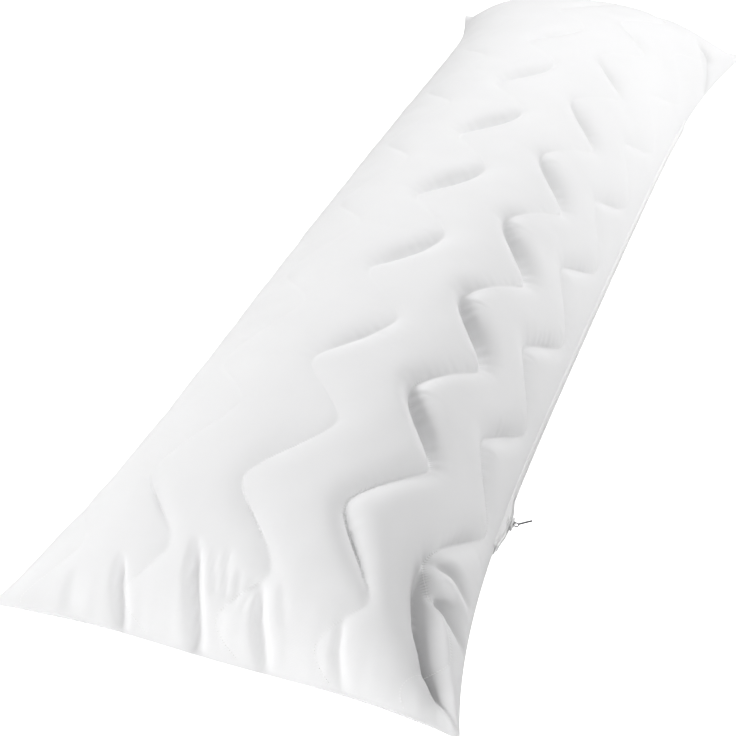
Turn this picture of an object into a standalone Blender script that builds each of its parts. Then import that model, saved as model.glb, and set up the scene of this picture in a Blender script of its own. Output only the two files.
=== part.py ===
"""Body pillow, 50 x 160 cm: a filled cushion, zigzag-quilted on its upper face, with a zip in one long seam.

Metres, +Z up. The pillow lies on its plain face on the floor plane z = 0, its length along Y and its zip on
the +X side. The origin is the middle of its footprint.
"""
import math

import bpy
import numpy as np

# ---------------------------------------------------------------- driving dimensions (metres)

# The filled cover, measured from ear to ear.
WIDTH = 0.500
LENGTH = 1.600
CROWN = 0.1945            # height of the crown over the floor, before the quilting's relief
SIDE_DRAW_IN = 0.051      # how far the filling draws each long side in, at mid-length
SIDE_FLARE = 5.35         # power of t: the sides run straight and flare late, into the ears
END_DRAW_IN = 0.015
END_FLARE = 3.2
BOW = 0.005               # the whole length bows this far towards -X

# The closing seam's height: low along the sides, a little higher at the ends and in the ears.
SEAM_Z_SIDE = 0.025
SEAM_Z_END = 0.041
SEAM_Z_POWERS = (5.55, 1.51)

# The crown falls to the seam as (1 - |s|^a)^(1/b) across and (1 - |t|^a)^(1/b) along. Across, the powers change
# towards the ends, where the section is more pointed. Along, the cloth leaves the end seam over a short reach.
CROSS_POWERS_MIDDLE = (2.45, 1.81)
CROSS_POWERS_END = (2.52, 1.55)
LENGTH_POWERS = (2.74, 3.24)
END_REACH = 0.024

# The lower face is flat within these shares of the half width and half length, and rises to the seam outside.
FLAT_ACROSS = 0.82
FLAT_ALONG = 0.93
UNDERSIDE_POWER = 1.5

# Quilting: parallel lines of stitching along the length, each a rounded zigzag.
CHANNEL_LINES = (-2, -1, 0, 1, 2)
CHANNEL_SPACING = 0.106   # measured over the crown
CHANNEL_OFFSET = 0.004    # of the middle line
CHANNEL_PITCH = 0.1757    # one zigzag
CHANNEL_SWING = 0.030     # half the zigzag's width
CHANNEL_PHASE_Y = 0.0954  # middle of a leg that runs away to +X
CHANNEL_POINTEDNESS = 0.95
CHANNEL_LEAN = 0.127
CHANNEL_DEPTH = 0.010
CUSHION_POWERS = (4.0, 1.7)
RELIEF_MEAN = 0.85        # share of the depth at which the plain form lies

# Soft folds where the panel is gathered into an end seam or an ear. Each is a valley from a point on the seam
# to a point where it dies out, given for the near end; the far end has those marked "both", turned round.
# x at seam, y at seam, x inside, y inside, half width, depth, ends
FOLDS = (
    (-0.108, -0.800, -0.100, -0.735, 0.017, 0.007, "near"),
    (-0.026, -0.800, -0.038, -0.725, 0.018, 0.009, "both"),
    (0.036, -0.800, 0.028, -0.730, 0.018, 0.008, "near"),
    (0.124, -0.800, 0.112, -0.740, 0.017, 0.007, "both"),
    (0.238, -0.790, 0.140, -0.655, 0.024, 0.014, "both"),
)

# Mesh density: columns per channel cell, columns from the outer line to the seam, rows along the length.
CELL_COLUMNS = 6
SIDE_COLUMNS = 6
ROWS = 104
ROW_CROWDING = 0.35

# The zip lies in the +X seam, with its slider parked at the near end.
ZIP_HALF_LENGTH = 0.530
SLIDER_Y = -0.482
TAPE_CLEARANCE = 0.0003   # between the pillow's seam and the tapes
TAPE_THICKNESS = 0.0009
TAPE_WIDTH = 0.0060
COIL_THICKNESS = 0.0034
COIL_WIDTH = 0.0030
COIL_GAP = 0.0004         # between the two closed coils
TAPE_LIFT = 0.0045        # the slider holds the tapes this far out of the seam
TAPE_LIFT_REACH = 0.030
TAPE_STATIONS = 56

SLIDER_LENGTH = 0.0190
SLIDER_WIDTH = 0.0100
PLATE_THICKNESS = 0.0013
PLATE_GAP = 0.0042        # holds the coils with 0.4 mm on each side
POST_LENGTH = 0.0060      # the wedge that joins the two plates and parts the coils
POST_WIDTH = 0.0040
BAIL_LENGTH = 0.0090
BAIL_OPENING = 0.0018
BAIL_THICKNESS = 0.0010
BAIL_WIDTH = 0.0016
BURIED = 0.0004           # how deep one part of the slider's casting runs into the next

PULL_EYE_RADIUS = 0.0022
PULL_EYE_WALL = 0.0009
PULL_EYE_SHIFT = 0.0012   # of the eye's centre from the bail's strap
PULL_BAR_LENGTH = 0.0170
PULL_BAR_WIDTH = 0.0018
PULL_THICKNESS = 0.0012
PULL_TILT = math.radians(31)

# Name, base colour, roughness, metallic.
COVER_CLOTH = ("cover_cloth", (0.90, 0.90, 0.91), 0.85, 0.0)
ZIP_CLOTH = ("zip_cloth", (0.92, 0.92, 0.92), 0.75, 0.0)
NICKEL = ("nickel", (0.74, 0.74, 0.75), 0.25, 1.0)


# ---------------------------------------------------------------- the pillow's form

def falloff(v, powers):
    """(1 - |v|^a)^(1/b): 1 in the middle, 0 at v = 1, with a round shoulder."""
    return np.clip(1.0 - np.abs(v) ** powers[0], 0.0, 1.0) ** (1.0 / powers[1])


def half_width(t):
    return WIDTH / 2 - SIDE_DRAW_IN * (1.0 - np.abs(t) ** SIDE_FLARE)


def seam_z(t):
    return SEAM_Z_END + (SEAM_Z_SIDE - SEAM_Z_END) * falloff(t, SEAM_Z_POWERS)


def plan(s, t):
    """Plan position for the share s of the half width at mid-length and the share t of the half length."""
    mid = WIDTH / 2 - SIDE_DRAW_IN
    width_here = half_width(t)
    x = s * (mid + (width_here - mid) * np.abs(s) ** 6)
    s_here = x / width_here
    y = t * (LENGTH / 2 - END_DRAW_IN * (1.0 - np.abs(s_here) ** END_FLARE))
    return x - BOW * (1.0 - t * t), y, s_here


def rise_across(s, t):
    """Share of the rise at s: the middle's section, blended into the ends' more pointed one."""
    blend = np.abs(t) ** 6
    powers = [middle + (end - middle) * blend for middle, end in zip(CROSS_POWERS_MIDDLE, CROSS_POWERS_END)]
    return falloff(s, powers)


def rise_along(t):
    """Share of the rise at t: a long round crown that meets the end seam at a finite slope."""
    from_end = (1.0 - np.abs(t)) * LENGTH / 2
    return falloff(t, LENGTH_POWERS) * (1.0 - np.exp(-from_end / END_REACH))


def crown_surface(s, t):
    """The upper face without its quilting."""
    x, y, s_here = plan(s, t)
    rise = (CROWN - SEAM_Z_SIDE) * rise_across(s_here, t) * rise_along(t)
    return np.stack([x, y, seam_z(t) + rise], axis=-1)


def underside(s, t):
    """The lower face: flat where it rests, then rising to the seam."""
    x, y, s_here = plan(s, t)
    across = np.clip((np.abs(s_here) - FLAT_ACROSS) / (1 - FLAT_ACROSS), 0, 1) ** UNDERSIDE_POWER
    along = np.clip((np.abs(t) - FLAT_ALONG) / (1 - FLAT_ALONG), 0, 1) ** UNDERSIDE_POWER
    return np.stack([x, y, seam_z(t) * (1 - (1 - across) * (1 - along))], axis=-1)


def surface_normal(s, t, step=1e-4):
    """Unit normals of the crown surface, by differences kept inside the panel."""
    s0, s1 = np.clip(s - step, -1, 1), np.clip(s + step, -1, 1)
    t0, t1 = np.clip(t - step, -1, 1), np.clip(t + step, -1, 1)
    along_s = crown_surface(s1, t) - crown_surface(s0, t)
    along_t = crown_surface(s, t1) - crown_surface(s, t0)
    normal = np.cross(along_s, along_t)
    return normal / np.maximum(np.linalg.norm(normal, axis=-1, keepdims=True), 1e-12)


def arc_table():
    """Cloth measured over the crown at mid-length, from the middle to the seam, against the share s."""
    s = np.sin(np.linspace(0, math.pi / 2, 2001))
    x = s * (WIDTH / 2 - SIDE_DRAW_IN)
    z = (CROWN - SEAM_Z_SIDE) * falloff(s, CROSS_POWERS_MIDDLE)
    arc = np.concatenate([[0.0], np.cumsum(np.hypot(np.diff(x), np.diff(z)))])
    return arc, s


# ---------------------------------------------------------------- the quilting

def zigzag(y):
    """A zigzag with rounded tips, from -1 to +1: asin(k sin) of a phase that leans."""
    phase = 2 * math.pi * (y - CHANNEL_PHASE_Y) / CHANNEL_PITCH
    phase = phase - CHANNEL_LEAN * np.sin(phase)
    return np.arcsin(CHANNEL_POINTEDNESS * np.sin(phase)) / math.asin(CHANNEL_POINTEDNESS)


def cushion(u):
    """Relief across one channel: 0 on the stitching at u = 0 and u = 1, 1 in between."""
    return falloff(2 * u - 1, CUSHION_POWERS)


def fold_relief(x, y):
    """Depth of the gathered folds at a plan position."""
    relief = np.zeros_like(x)
    for x0, y0, x1, y1, half, depth, ends in FOLDS:
        for turn in ((1, -1) if ends == "both" else (1,)):
            dx, dy = (x1 - x0) * turn, (y1 - y0) * turn
            px, py = x - x0 * turn, y - y0 * turn
            length = math.hypot(dx, dy)
            along = (px * dx + py * dy) / length ** 2
            aside = (px * dy - py * dx) / length
            fade = np.clip(1 - along, 0, 1) * np.clip(along * 8, 0, 1)
            relief -= depth * np.sqrt(fade) * np.exp(-(aside / half) ** 2)
    return relief


def panel_columns():
    """Each column of the upper face as (line, share to the seam, place in its channel, side)."""
    side = [(CHANNEL_LINES[0], 1 - i / SIDE_COLUMNS, -1) for i in range(SIDE_COLUMNS)]
    columns = [(line, share, 1 - share, direction) for line, share, direction in side]
    cells = (len(CHANNEL_LINES) - 1) * CELL_COLUMNS
    for i in range(cells + 1):
        line = CHANNEL_LINES[0] + i / CELL_COLUMNS
        columns.append((line, 0.0, line % 1.0, 0))
    for i in range(1, SIDE_COLUMNS + 1):
        share = i / SIDE_COLUMNS
        columns.append((CHANNEL_LINES[-1], share, share, 1))
    return columns


def upper_face(t_rows):
    """Grid of points of the quilted face: columns follow the stitch lines, rows run across."""
    arc, share_of_arc = arc_table()
    seam_arc = arc[-1]
    y_nominal = t_rows * LENGTH / 2
    grid = []
    for line, to_seam, place, direction in panel_columns():
        u = CHANNEL_OFFSET + CHANNEL_SPACING * line + CHANNEL_SWING * zigzag(y_nominal)
        u = u * (1 - to_seam) + direction * seam_arc * to_seam
        s = np.sign(u) * np.interp(np.abs(u), arc, share_of_arc)
        point = crown_surface(s, t_rows)
        s_here = plan(s, t_rows)[2]
        edge = (1 - np.abs(s_here) ** 10) * (1 - np.abs(t_rows) ** 30)
        relief = CHANNEL_DEPTH * (cushion(place) - RELIEF_MEAN) + fold_relief(point[:, 0], point[:, 1])
        grid.append(point + surface_normal(s, t_rows) * (relief * edge)[:, None])
    return np.array(grid)


def make_pillow():
    """One closed skin: the quilted face, the plain face with half as many columns, and their common seam."""
    tau = np.linspace(-math.pi / 2, math.pi / 2, ROWS + 1)
    t_rows = ROW_CROWDING * np.sin(tau) + (1 - ROW_CROWDING) * tau / (math.pi / 2)
    top = upper_face(t_rows)
    columns = len(top) - 1
    under_s = np.sin(np.linspace(-math.pi / 2, math.pi / 2, columns // 2 + 1))
    under = np.array([underside(np.full_like(t_rows, s), t_rows) for s in under_s])

    vertices, top_index, under_index = [], {}, {}
    for i in range(columns + 1):
        for j in range(ROWS + 1):
            top_index[i, j] = len(vertices)
            vertices.append(top[i, j])
    for i in range(columns // 2 + 1):
        for j in range(1, ROWS):
            if i in (0, columns // 2):
                under_index[i, j] = top_index[2 * i, j]
            else:
                under_index[i, j] = len(vertices)
                vertices.append(under[i, j])

    faces = []
    for i in range(columns):
        for j in range(ROWS):
            faces.append((top_index[i, j], top_index[i + 1, j], top_index[i + 1, j + 1], top_index[i, j + 1]))
    for i in range(columns // 2):
        for j in range(1, ROWS - 1):
            faces.append((under_index[i, j], under_index[i, j + 1],
                          under_index[i + 1, j + 1], under_index[i + 1, j]))
        for end, row in ((0, 1), (ROWS, ROWS - 1)):
            seam = [top_index[2 * i, end], top_index[2 * i + 1, end], top_index[2 * i + 2, end]]
            inside = [under_index[i + 1, row], under_index[i, row]]
            ring = seam + inside
            faces.append(tuple(reversed(ring)) if end == 0 else tuple(ring))
    # The rings at the two ends repeat a seam corner where their row starts on the side seam itself.
    faces = [tuple(dict.fromkeys(face)) for face in faces]
    return add_mesh("pillow", vertices, faces, COVER_CLOTH, smooth=True)


# ---------------------------------------------------------------- the zip

def seam_frame(y):
    """A point on the +X seam and the seam's direction there, for the plan position y."""
    t = y / (LENGTH / 2)
    x, _, _ = plan(np.ones_like(t), t)
    step = 1e-4
    x_next, _, _ = plan(np.ones_like(t), t + step)
    slope = (x_next - x) / (step * LENGTH / 2)
    along = np.stack([slope, np.ones_like(slope), np.zeros_like(slope)], axis=-1)
    along /= np.linalg.norm(along, axis=-1, keepdims=True)
    return np.stack([x, y, seam_z(t)], axis=-1), along


def tape_lift(y):
    """How far the slider holds the tapes out of the seam, at y."""
    return TAPE_LIFT * np.exp(-((y - SLIDER_Y) / TAPE_LIFT_REACH) ** 4)


def tape_parting(y):
    """Half the gap between the coils: closed behind the slider, apart from its wedge onwards."""
    wedge_y = SLIDER_Y - SLIDER_LENGTH / 2 + POST_LENGTH + 0.004
    apart = 0.5 - 0.5 * np.tanh((y - wedge_y) / 0.0015)
    return COIL_GAP / 2 + apart * (POST_WIDTH / 2 + COIL_GAP - COIL_GAP / 2)


def make_tape(name, direction):
    """One tape with its coil, as an L-shaped section carried along the seam; direction +1 is the upper tape."""
    tail = np.linspace(-ZIP_HALF_LENGTH, SLIDER_Y - 0.03, 5)[:-1]
    at_slider = np.linspace(SLIDER_Y - 0.03, SLIDER_Y + 0.04, 29)
    rest = np.linspace(SLIDER_Y + 0.04, ZIP_HALF_LENGTH, TAPE_STATIONS - 28)[1:]
    y = np.concatenate([tail, at_slider, rest])
    origin, along = seam_frame(y)
    outward = np.stack([along[:, 1], -along[:, 0], np.zeros(len(y))], axis=-1)
    lift = TAPE_CLEARANCE + tape_lift(y)
    parting = tape_parting(y)
    section = (
        (0.0, 0.0),
        (COIL_THICKNESS, 0.0),
        (COIL_THICKNESS, COIL_WIDTH),
        (TAPE_THICKNESS, COIL_WIDTH),
        (TAPE_THICKNESS, COIL_WIDTH + TAPE_WIDTH),
        (0.0, COIL_WIDTH + TAPE_WIDTH),
    )
    vertices = []
    for k in range(len(y)):
        for out, up in section:
            point = origin[k] + outward[k] * (lift[k] + out)
            point[2] += direction * (parting[k] + up)
            vertices.append(point)
    return add_mesh(name, vertices, swept_faces(len(y), len(section), flip=direction > 0), ZIP_CLOTH)


def make_slider():
    """Two plates, the wedge between them and the bail that carries the pull, as one casting."""
    placing = slider_placing()
    inner_x = -PLATE_GAP / 2 - PLATE_THICKNESS
    outer_x = PLATE_GAP / 2
    slider = prism("zip_slider", plate_outline(), (outer_x, outer_x + PLATE_THICKNESS), placing)
    inner_plate = prism("inner_plate", plate_outline(), (inner_x, inner_x + PLATE_THICKNESS), placing)
    wedge = prism("wedge", wedge_outline(), (-PLATE_GAP / 2 - BURIED, PLATE_GAP / 2 + BURIED), placing)
    bail = add_mesh("bail", *bail_mesh(outer_x + PLATE_THICKNESS), NICKEL)
    bail.data.transform(placing)
    for part in (wedge, inner_plate, bail):
        unite(slider, part)
    return slider


def slider_placing():
    """Local x outward from the seam, y along it, z up; the origin is midway between the plates."""
    from mathutils import Matrix
    origin, along = seam_frame(np.array([SLIDER_Y]))
    origin, along = origin[0], along[0]
    outward = np.array([along[1], -along[0], 0.0])
    middle = origin + outward * (TAPE_CLEARANCE + TAPE_LIFT + COIL_THICKNESS / 2)
    return Matrix((
        (outward[0], along[0], 0.0, middle[0]),
        (outward[1], along[1], 0.0, middle[1]),
        (0.0, 0.0, 1.0, middle[2]),
        (0.0, 0.0, 0.0, 1.0),
    ))


def plate_outline(points=24):
    """The plate in its own plane: straight sides, round nose, as (y, z)."""
    angle = np.linspace(0, 2 * math.pi, points, endpoint=False)
    c, s = np.cos(angle), np.sin(angle)
    y = np.sign(c) * np.abs(c) ** 0.6 * SLIDER_LENGTH / 2
    z = np.sign(s) * np.abs(s) ** 0.6 * SLIDER_WIDTH / 2
    narrowing = 1 - 0.22 * np.clip(y / (SLIDER_LENGTH / 2), 0, 1)
    return list(zip(y, z * narrowing))


def wedge_outline():
    """The wedge sits at the nose (-y) and tapers towards the closed coils."""
    nose = -SLIDER_LENGTH / 2 + 0.0008
    half = POST_WIDTH / 2
    return [(nose, -half), (nose + POST_LENGTH * 0.6, -half), (nose + POST_LENGTH, 0.0),
            (nose + POST_LENGTH * 0.6, half), (nose, half)]


def bail_mesh(base_x, arch_points=9):
    """A flat strap arched along y over the outer plate."""
    outer_half = BAIL_LENGTH / 2
    inner_half = outer_half - BAIL_THICKNESS
    outer, inner = [], []
    for i in range(arch_points):
        angle = math.pi * i / (arch_points - 1)
        c, s = math.cos(angle), math.sin(angle)
        round_c = math.copysign(abs(c) ** 0.5, c)
        round_s = s ** 0.5
        outer.append((base_x - BURIED + round_s * (BAIL_OPENING + BAIL_THICKNESS + BURIED), round_c * outer_half))
        inner.append((base_x - BURIED + round_s * (BAIL_OPENING + BURIED), round_c * inner_half))
    vertices = []
    for (xo, yo), (xi, yi) in zip(outer, inner):
        for x, y, z in ((xo, yo, -1), (xo, yo, 1), (xi, yi, 1), (xi, yi, -1)):
            vertices.append((x, y, z * BAIL_WIDTH / 2))
    return vertices, swept_faces(arch_points, 4, flip=False)


def make_pull(points=28):
    """An eye round the bail's strap and a slim bar, cut from one sheet that stands across the seam."""
    from mathutils import Matrix
    outer_radius = PULL_EYE_RADIUS + PULL_EYE_WALL
    neck = math.asin(PULL_BAR_WIDTH / 2 / outer_radius)
    outline, hole = [], []
    for i in range(points + 1):
        angle = neck + (2 * math.pi - 2 * neck) * i / points
        outline.append((outer_radius * math.cos(angle), outer_radius * math.sin(angle)))
        ring = 2 * math.pi * i / (points + 1)
        hole.append((PULL_EYE_RADIUS * math.cos(ring), PULL_EYE_RADIUS * math.sin(ring)))
    tip_x = outer_radius + PULL_BAR_LENGTH
    tip = [(tip_x, -PULL_BAR_WIDTH / 2), (tip_x, PULL_BAR_WIDTH / 2)]

    half = PULL_THICKNESS / 2
    vertices = [(x, side * half, z) for side in (-1, 1) for x, z in outline + tip + hole]
    count, ring_start = len(outline) + 2, len(outline) + 2
    layer = count + len(hole)
    faces = []
    for side in (0, 1):
        base = side * layer
        cap = []
        for i in range(points):
            cap.append((base + i, base + i + 1, base + ring_start + i + 1, base + ring_start + i))
        cap.append((base + points, base + 0, base + ring_start, base + ring_start + points))
        cap.append((base + points, base + count - 2, base + count - 1, base + 0))
        faces += [tuple(reversed(face)) for face in cap] if side else cap
    for i in range(count):
        j = (i + 1) % count
        faces.append((i, i + layer, j + layer, j))
    for i in range(len(hole)):
        j = (i + 1) % len(hole)
        faces.append((ring_start + j, ring_start + j + layer, ring_start + i + layer, ring_start + i))

    strap_x = PLATE_GAP / 2 + PLATE_THICKNESS + BAIL_OPENING + BAIL_THICKNESS / 2
    place = slider_placing() @ Matrix.Translation((strap_x + PULL_EYE_SHIFT, 0.0, 0.0))
    pull = add_mesh("zip_pull", vertices, faces, NICKEL)
    pull.data.transform(place @ Matrix.Rotation(-PULL_TILT, 4, "Y"))
    return pull


# ---------------------------------------------------------------- mesh helpers

def swept_faces(stations, sides, flip):
    """Quads between successive sections, and a cap on each end."""
    faces = []
    for k in range(stations - 1):
        for i in range(sides):
            j = (i + 1) % sides
            faces.append((k * sides + i, k * sides + j, (k + 1) * sides + j, (k + 1) * sides + i))
    faces.append(tuple(reversed(range(sides))))
    faces.append(tuple(range((stations - 1) * sides, stations * sides)))
    return [tuple(reversed(face)) for face in faces] if flip else faces


def prism(name, outline, x_range, placing):
    """An outline in the y-z plane, thickened between two x values, then placed."""
    vertices = [(x, y, z) for x in x_range for y, z in outline]
    count = len(outline)
    faces = [tuple(reversed(range(count))), tuple(range(count, 2 * count))]
    for i in range(count):
        j = (i + 1) % count
        faces.append((i, j, j + count, i + count))
    part = add_mesh(name, vertices, faces, NICKEL)
    part.data.transform(placing)
    return part


def unite(body, tool):
    """Join tool to body with an exact boolean and take the tool away."""
    joint = body.modifiers.new("unite", "BOOLEAN")
    joint.operation = "UNION"
    joint.solver = "EXACT"
    joint.object = tool
    bpy.context.view_layer.objects.active = body
    bpy.ops.object.modifier_apply(modifier=joint.name)
    bpy.data.objects.remove(tool, do_unlink=True)


def make_material(spec):
    name, colour, roughness, metallic = spec
    material = bpy.data.materials.get(name)
    if material is None:
        material = bpy.data.materials.new(name)
        material.use_nodes = True
        material.diffuse_color = (*colour, 1.0)
        shader = material.node_tree.nodes["Principled BSDF"]
        shader.inputs["Base Color"].default_value = (*colour, 1.0)
        shader.inputs["Roughness"].default_value = roughness
        shader.inputs["Metallic"].default_value = metallic
    return material


def add_mesh(name, vertices, faces, spec, smooth=False):
    mesh = bpy.data.meshes.new(name)
    mesh.from_pydata([tuple(float(c) for c in vertex) for vertex in vertices], [], faces)
    mesh.validate()
    mesh.materials.append(make_material(spec))
    if smooth:
        mesh.shade_smooth()
    obj = bpy.data.objects.new(name, mesh)
    bpy.context.scene.collection.objects.link(obj)
    return obj


def main():
    for obj in list(bpy.data.objects):
        bpy.data.objects.remove(obj, do_unlink=True)
    make_pillow()
    make_tape("zip_tape_upper", 1)
    make_tape("zip_tape_lower", -1)
    make_slider()
    make_pull()


if __name__ == "__main__":
    main()
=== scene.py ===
"""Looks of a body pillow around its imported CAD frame: the quilted cushion, its stitching, its zip and a studio.

Laid out as a Blender add-on and run as a script. Metres, +Z up. The pillow lies on its plain face on z = 0, its
length along Y, its zip on the +X side. Places on the quilted panel are given as (u, v): u is measured over the
crown at mid-length from its middle line, v is the place along the length.
"""

import math

import bpy
import numpy as np
from bpy.props import FloatProperty, FloatVectorProperty, IntProperty, PointerProperty
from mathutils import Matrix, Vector


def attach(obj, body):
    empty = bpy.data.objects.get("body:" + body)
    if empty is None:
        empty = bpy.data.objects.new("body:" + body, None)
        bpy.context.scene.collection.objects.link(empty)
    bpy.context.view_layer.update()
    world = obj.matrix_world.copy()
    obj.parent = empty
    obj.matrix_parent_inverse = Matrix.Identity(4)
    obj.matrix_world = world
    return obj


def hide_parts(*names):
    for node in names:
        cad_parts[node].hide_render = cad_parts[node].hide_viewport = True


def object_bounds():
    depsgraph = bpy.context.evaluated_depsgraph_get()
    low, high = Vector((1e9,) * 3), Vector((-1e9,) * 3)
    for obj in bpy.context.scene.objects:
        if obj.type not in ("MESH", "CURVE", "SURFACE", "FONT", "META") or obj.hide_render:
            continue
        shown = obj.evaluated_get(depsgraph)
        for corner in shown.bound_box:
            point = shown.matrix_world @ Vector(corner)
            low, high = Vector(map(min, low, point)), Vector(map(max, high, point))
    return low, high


bl_info = {
    "name": "Body pillow",
    "version": (1, 0, 0),
    "blender": (4, 5, 0),
    "location": "3D View > Sidebar > Pillow",
    "description": "Builds a filled, zigzag-quilted body pillow with its zip, and a studio around it",
    "category": "Add Mesh",
}

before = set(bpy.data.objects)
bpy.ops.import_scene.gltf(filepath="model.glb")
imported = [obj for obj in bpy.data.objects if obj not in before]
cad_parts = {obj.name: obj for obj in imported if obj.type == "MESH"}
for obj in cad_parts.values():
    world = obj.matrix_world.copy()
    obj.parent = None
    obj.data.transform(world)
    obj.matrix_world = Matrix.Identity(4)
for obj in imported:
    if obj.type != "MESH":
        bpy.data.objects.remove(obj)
CAD_LOW, CAD_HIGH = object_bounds()
BODY = "root"


# ---- settings

def metres(name, default, description):
    return FloatProperty(name=name, default=default, description=description, min=0.0, precision=4, unit="LENGTH")


def colour(name, default, description):
    return FloatVectorProperty(name=name, default=default, description=description, size=3, min=0.0, max=1.0,
                               subtype="COLOR")


class PillowForm(bpy.types.PropertyGroup):
    """The filled cover, without its quilting."""
    width: metres("Width", round(CAD_HIGH.x - CAD_LOW.x, 4), "Across the cover, from ear to ear")
    length: metres("Length", round(CAD_HIGH.y - CAD_LOW.y, 4), "Along the cover, from ear to ear")
    crown: metres("Crown", 0.1945, "Height of the crown over the floor")
    side_draw_in: metres("Side draw-in", 0.051, "How far the filling draws each long side in")
    end_draw_in: metres("End draw-in", 0.015, "How far the filling draws each end in")
    bow: metres("Bow", 0.005, "How far the whole length bows to -X")
    seam_side: metres("Seam height, sides", 0.025, "Height of the closing seam along the sides")
    seam_end: metres("Seam height, ends", 0.041, "Height of the closing seam at the ends")


class Quilting(bpy.types.PropertyGroup):
    """The stitch lines and the valleys they pull into the wadding."""
    spacing: metres("Line spacing", 0.106, "Between two lines, over the crown")
    pitch: metres("Zigzag pitch", 0.1757, "Length of one zigzag")
    swing: metres("Zigzag swing", 0.030, "Half the width of a zigzag")
    depth: metres("Valley depth", 0.0125, "From the cushions' tops down to the stitching")
    reach: metres("Valley reach", 0.040, "How far from the stitching a cushion reaches its full height")
    stitch: metres("Stitch length", 0.0030, "From one needle hole to the next")
    thread: metres("Thread width", 0.0009, "Width of the laid thread")


class Zip(bpy.types.PropertyGroup):
    """The closed zip in the +X seam."""
    half_length: metres("Half length", 0.530, "Half the length of the zip")
    slider_y: FloatProperty(name="Slider's place", default=-0.482, unit="LENGTH", description="Along the seam")
    tape_width: metres("Tape width", 0.0060, "Width of each tape that shows")
    coil_pitch: metres("Coil pitch", 0.0015, "From one turn of the coil to the next")
    lift: metres("Lift", 0.0045, "How far the slider holds the tapes out of the seam")


class Finishes(bpy.types.PropertyGroup):
    """Colours."""
    cloth: colour("Cloth", (0.84, 0.84, 0.845), "The cover")
    thread: colour("Thread", (0.94, 0.94, 0.94), "The stitching")
    tape: colour("Zip tape", (0.92, 0.92, 0.92), "The zip's tapes and coil")
    nickel: colour("Nickel", (0.16, 0.16, 0.165), "The slider and the pull")


class Studio(bpy.types.PropertyGroup):
    """The stage."""
    floor_glow: FloatProperty(name="Floor glow", default=1.0, min=0.0, description="As the camera sees it")
    sky: FloatProperty(name="Sky", default=0.02, min=0.0, description="Even light from all round")
    lamps: FloatProperty(name="Lamps", default=1.0, min=0.0, description="Strength of all the lamps")
    floor_size: metres("Floor size", 30.0, "Side of the square floor")
    rows: IntProperty(name="Rows", default=550, min=60, description="Rows of the quilted panel's mesh")


SETTINGS = {"pillow_form": PillowForm, "pillow_quilting": Quilting, "pillow_zip": Zip,
            "pillow_finishes": Finishes, "pillow_studio": Studio}


def setting(name):
    return getattr(bpy.context.scene, "pillow_" + name)


# ---- the cushion's form, as in the CAD source

SIDE_FLARE, END_FLARE = 5.35, 3.2
SEAM_POWERS = (5.55, 1.51)
CROSS_MIDDLE, CROSS_END = (2.45, 1.81), (2.52, 1.55)
LENGTH_POWERS, END_REACH = (2.74, 3.24), 0.024
FLAT_ACROSS, FLAT_ALONG, UNDERSIDE_POWER = 0.82, 0.93, 1.5


def falloff(v, powers):
    """(1 - |v|^a)^(1/b): 1 in the middle, 0 at v = 1, with a round shoulder."""
    return np.clip(1.0 - np.abs(v) ** powers[0], 0.0, 1.0) ** (1.0 / powers[1])


def plan(s, t):
    """Plan position of the shares s of the half width and t of the half length: the sides run straight and flare
    with a high power of t into the ears, the ends bow in with a power of s, and the whole length bows with t^2."""
    form = setting("form")
    middle = form.width / 2 - form.side_draw_in
    half = form.width / 2 - form.side_draw_in * (1.0 - np.abs(t) ** SIDE_FLARE)
    x = s * (middle + (half - middle) * np.abs(s) ** 6)
    s_here = x / half
    y = t * (form.length / 2 - form.end_draw_in * (1.0 - np.abs(s_here) ** END_FLARE))
    return x - form.bow * (1.0 - t * t), y, s_here


def seam_height(s_here, t):
    """Low along the sides and higher at the ends, where it sags a little between the ears."""
    form = setting("form")
    height = form.seam_end + (form.seam_side - form.seam_end) * falloff(t, SEAM_POWERS)
    sag = 0.004 * np.cos(1.25 * math.pi * s_here) * (1 - np.abs(s_here) ** 6)
    return height - sag * np.abs(t) ** 40


def crown_surface(s, t):
    """The upper face without its quilting: the seam's height plus the product of a falloff across, whose powers
    change towards the ends, a falloff along and 1 - exp(-distance to the end seam / reach)."""
    form = setting("form")
    x, y, s_here = plan(s, t)
    blend = np.abs(t) ** 6
    powers = [a + (b - a) * blend for a, b in zip(CROSS_MIDDLE, CROSS_END)]
    from_end = (1.0 - np.abs(t)) * form.length / 2
    along = falloff(t, LENGTH_POWERS) * (1.0 - np.exp(-from_end / END_REACH))
    seam = seam_height(s_here, t)
    return np.stack([x, y, seam + (form.crown - form.seam_side) * falloff(s_here, powers) * along], axis=-1)


def under_surface(s, t):
    """The lower face: flat where it rests, then rising to the seam with a power of the distance beyond."""
    x, y, s_here = plan(s, t)
    across = np.clip((np.abs(s_here) - FLAT_ACROSS) / (1 - FLAT_ACROSS), 0, 1) ** UNDERSIDE_POWER
    along = np.clip((np.abs(t) - FLAT_ALONG) / (1 - FLAT_ALONG), 0, 1) ** UNDERSIDE_POWER
    return np.stack([x, y, seam_height(s_here, t) * (1 - (1 - across) * (1 - along))], axis=-1)


def unit(vectors):
    return vectors / np.linalg.norm(vectors, axis=-1, keepdims=True)


def crown_normal(s, t, step=2e-4):
    """Unit normals of the crown surface, from the cross product of its differences along s and t."""
    s0, s1 = np.clip(s - step, -1, 1), np.clip(s + step, -1, 1)
    t0, t1 = np.clip(t - step, -1, 1), np.clip(t + step, -1, 1)
    normal = np.cross(crown_surface(s1, t) - crown_surface(s0, t), crown_surface(s, t1) - crown_surface(s, t0))
    return normal / np.maximum(np.linalg.norm(normal, axis=-1, keepdims=True), 1e-12)


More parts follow.
